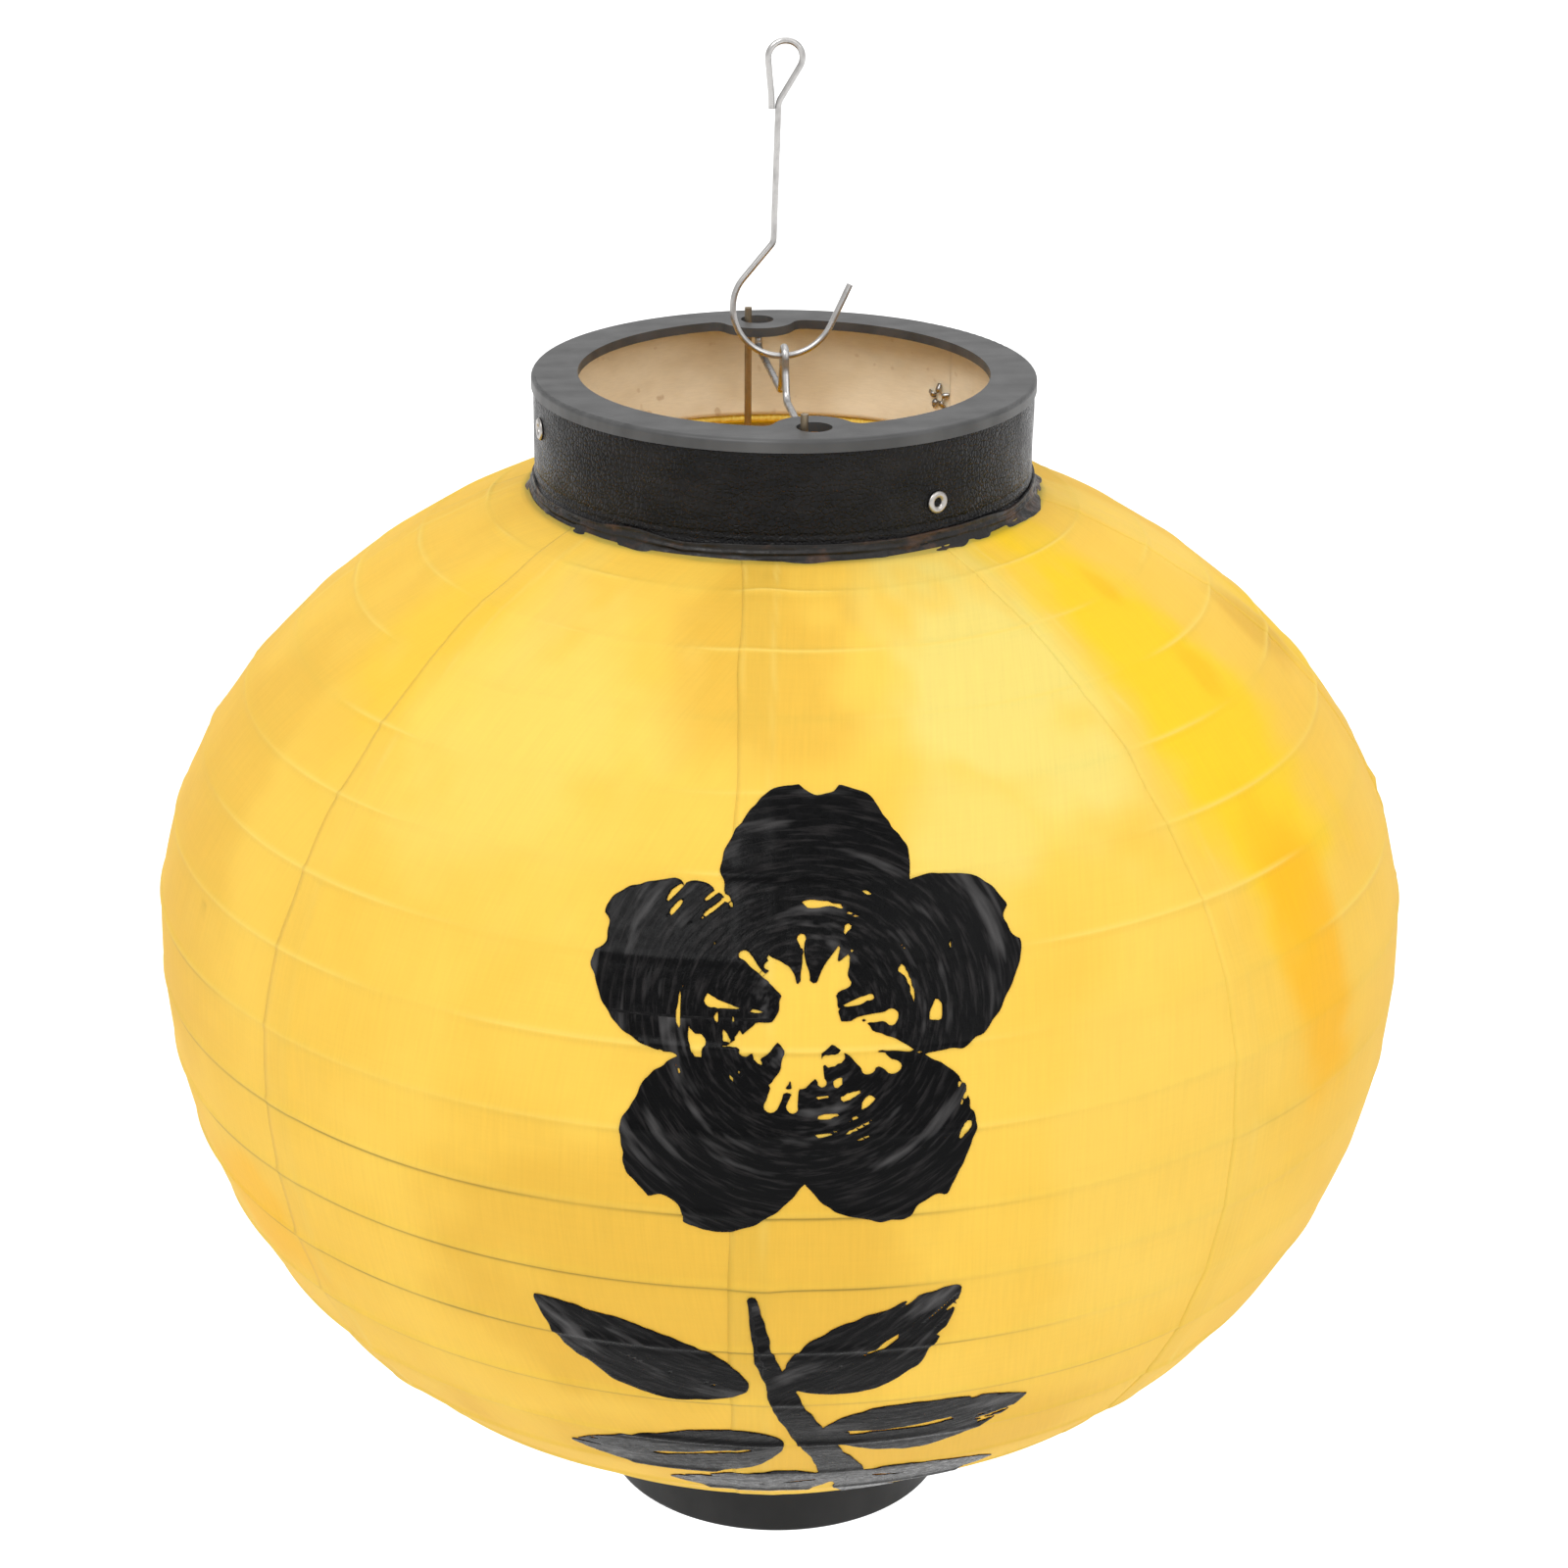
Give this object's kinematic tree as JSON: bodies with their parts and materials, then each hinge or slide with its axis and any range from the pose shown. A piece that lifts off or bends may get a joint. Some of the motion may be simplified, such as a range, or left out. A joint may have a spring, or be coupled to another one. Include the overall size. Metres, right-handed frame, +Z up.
{
  "type": "folding cloth lantern",
  "caption": "Round folding lantern of yellow cloth over thin hoops, with a dark collar and bottom ring, on a wire bail and hanging hook.",
  "frame": {"origin": "hang point: inside top of the hook's eye, where a nail bears", "axes": "+Z up along the lantern's axis; Y along the bail, from lug to lug; the hook's J lies in the XZ plane"},
  "size_m": [0.3, 0.3, 0.3643],
  "materials": {
    "wire": "bright drawn steel wire",
    "rim": "moulded, satin sheen",
    "band": "fine grained vinyl, soft sheen",
    "liner": "smooth tan card",
    "eyelet": "rolled steel",
    "glued_edge": "cloth edge set in dark glue",
    "cloth": "woven satin",
    "ink": "thick gloss paint",
    "hoop": "plain wire"
  },
  "bodies": {
    "hook": {"hanging_hook": "wire"},
    "bail": {"bail_wire": "wire"},
    "collar": {"top_rim": "rim", "top_band": "band", "top_liner": "liner", "top_eyelets": "eyelet", "top_binding": "glued_edge", "top_end_hoop": "hoop", "gore_1": "cloth", "gore_2": "cloth", "gore_3": "cloth", "gore_4": "cloth", "gore_5": "cloth", "gore_6": "cloth", "gore_7": "cloth", "gore_8": "cloth"},
    "base": {"bottom_rim": "rim", "bottom_band": "band", "bottom_liner": "liner", "bottom_binding": "glued_edge", "bottom_end_hoop": "hoop", "stay_front": "wire", "stay_rear": "wire"},
    "hoop_01_ring": {"hoop_01": "hoop"},
    "hoop_02_ring": {"hoop_02": "hoop"},
    "hoop_03_ring": {"hoop_03": "hoop"},
    "hoop_04_ring": {"hoop_04": "hoop"},
    "hoop_05_ring": {"hoop_05": "hoop"},
    "hoop_06_ring": {"hoop_06": "hoop"},
    "hoop_07_ring": {"hoop_07": "hoop"},
    "hoop_08_ring": {"hoop_08": "hoop"},
    "hoop_09_ring": {"hoop_09": "hoop"},
    "hoop_10_ring": {"hoop_10": "hoop"},
    "hoop_11_ring": {"hoop_11": "hoop"},
    "hoop_12_ring": {"hoop_12": "hoop"},
    "hoop_13_ring": {"hoop_13": "hoop"},
    "hoop_14_ring": {"hoop_14": "hoop"},
    "hoop_15_ring": {"hoop_15": "hoop"},
    "hoop_16_ring": {"hoop_16": "hoop"},
    "hoop_17_ring": {"hoop_17": "hoop"},
    "hoop_18_ring": {"hoop_18": "hoop"}
  },
  "joints": [
    {"name": "bail_swing", "type": "hinge", "parent": "hook", "child": "bail", "pos_m": [0, 0, -0.0716], "axis": [1, 0, 0], "range_deg": [-20, 20]},
    {"name": "collar_rock", "type": "hinge", "parent": "bail", "child": "collar", "pos_m": [0, 0, -0.07838], "axis": [0, 1, 0], "range_deg": [-12, 12]},
    {"name": "accordion_fold", "type": "slide", "parent": "collar", "child": "base", "axis": [0, 0, 1], "range_m": [0, 0.2], "deforming": ["gore_1", "gore_2", "gore_3", "gore_4", "gore_5", "gore_6", "gore_7", "gore_8"]},
    {"name": "hoop_01_rise", "type": "slide", "parent": "collar", "child": "hoop_01_ring", "axis": [0, 0, 1], "range_m": [0, 0.00354]},
    {"name": "hoop_02_rise", "type": "slide", "parent": "collar", "child": "hoop_02_ring", "axis": [0, 0, 1], "range_m": [0, 0.01032]},
    {"name": "hoop_03_rise", "type": "slide", "parent": "collar", "child": "hoop_03_ring", "axis": [0, 0, 1], "range_m": [0, 0.01854]},
    {"name": "hoop_04_rise", "type": "slide", "parent": "collar", "child": "hoop_04_ring", "axis": [0, 0, 1], "range_m": [0, 0.0282]},
    {"name": "hoop_05_rise", "type": "slide", "parent": "collar", "child": "hoop_05_ring", "axis": [0, 0, 1], "range_m": [0, 0.0393]},
    {"name": "hoop_06_rise", "type": "slide", "parent": "collar", "child": "hoop_06_ring", "axis": [0, 0, 1], "range_m": [0, 0.05174]},
    {"name": "hoop_07_rise", "type": "slide", "parent": "collar", "child": "hoop_07_ring", "axis": [0, 0, 1], "range_m": [0, 0.06556]},
    {"name": "hoop_08_rise", "type": "slide", "parent": "collar", "child": "hoop_08_ring", "axis": [0, 0, 1], "range_m": [0, 0.08038]},
    {"name": "hoop_09_rise", "type": "slide", "parent": "collar", "child": "hoop_09_ring", "axis": [0, 0, 1], "range_m": [0, 0.09562]},
    {"name": "hoop_10_rise", "type": "slide", "parent": "collar", "child": "hoop_10_ring", "axis": [0, 0, 1], "range_m": [0, 0.1108]},
    {"name": "hoop_11_rise", "type": "slide", "parent": "collar", "child": "hoop_11_ring", "axis": [0, 0, 1], "range_m": [0, 0.1257]},
    {"name": "hoop_12_rise", "type": "slide", "parent": "collar", "child": "hoop_12_ring", "axis": [0, 0, 1], "range_m": [0, 0.14002]},
    {"name": "hoop_13_rise", "type": "slide", "parent": "collar", "child": "hoop_13_ring", "axis": [0, 0, 1], "range_m": [0, 0.15332]},
    {"name": "hoop_14_rise", "type": "slide", "parent": "collar", "child": "hoop_14_ring", "axis": [0, 0, 1], "range_m": [0, 0.16544]},
    {"name": "hoop_15_rise", "type": "slide", "parent": "collar", "child": "hoop_15_ring", "axis": [0, 0, 1], "range_m": [0, 0.1761]},
    {"name": "hoop_16_rise", "type": "slide", "parent": "collar", "child": "hoop_16_ring", "axis": [0, 0, 1], "range_m": [0, 0.18508]},
    {"name": "hoop_17_rise", "type": "slide", "parent": "collar", "child": "hoop_17_ring", "axis": [0, 0, 1], "range_m": [0, 0.19236]},
    {"name": "hoop_18_rise", "type": "slide", "parent": "collar", "child": "hoop_18_ring", "axis": [0, 0, 1], "range_m": [0, 0.19788]}
  ],
  "couplings": [
    {"joint": "hoop_01_rise", "follows": "accordion_fold", "ratio": 0.0152},
    {"joint": "hoop_02_rise", "follows": "accordion_fold", "ratio": 0.0491},
    {"joint": "hoop_03_rise", "follows": "accordion_fold", "ratio": 0.0902},
    {"joint": "hoop_04_rise", "follows": "accordion_fold", "ratio": 0.1385},
    {"joint": "hoop_05_rise", "follows": "accordion_fold", "ratio": 0.194},
    {"joint": "hoop_06_rise", "follows": "accordion_fold", "ratio": 0.2562},
    {"joint": "hoop_07_rise", "follows": "accordion_fold", "ratio": 0.3253},
    {"joint": "hoop_08_rise", "follows": "accordion_fold", "ratio": 0.3994},
    {"joint": "hoop_09_rise", "follows": "accordion_fold", "ratio": 0.4756},
    {"joint": "hoop_10_rise", "follows": "accordion_fold", "ratio": 0.5515},
    {"joint": "hoop_11_rise", "follows": "accordion_fold", "ratio": 0.626},
    {"joint": "hoop_12_rise", "follows": "accordion_fold", "ratio": 0.6976},
    {"joint": "hoop_13_rise", "follows": "accordion_fold", "ratio": 0.7641},
    {"joint": "hoop_14_rise", "follows": "accordion_fold", "ratio": 0.8247},
    {"joint": "hoop_15_rise", "follows": "accordion_fold", "ratio": 0.878},
    {"joint": "hoop_16_rise", "follows": "accordion_fold", "ratio": 0.9229},
    {"joint": "hoop_17_rise", "follows": "accordion_fold", "ratio": 0.9593},
    {"joint": "hoop_18_rise", "follows": "accordion_fold", "ratio": 0.9869}
  ]
}
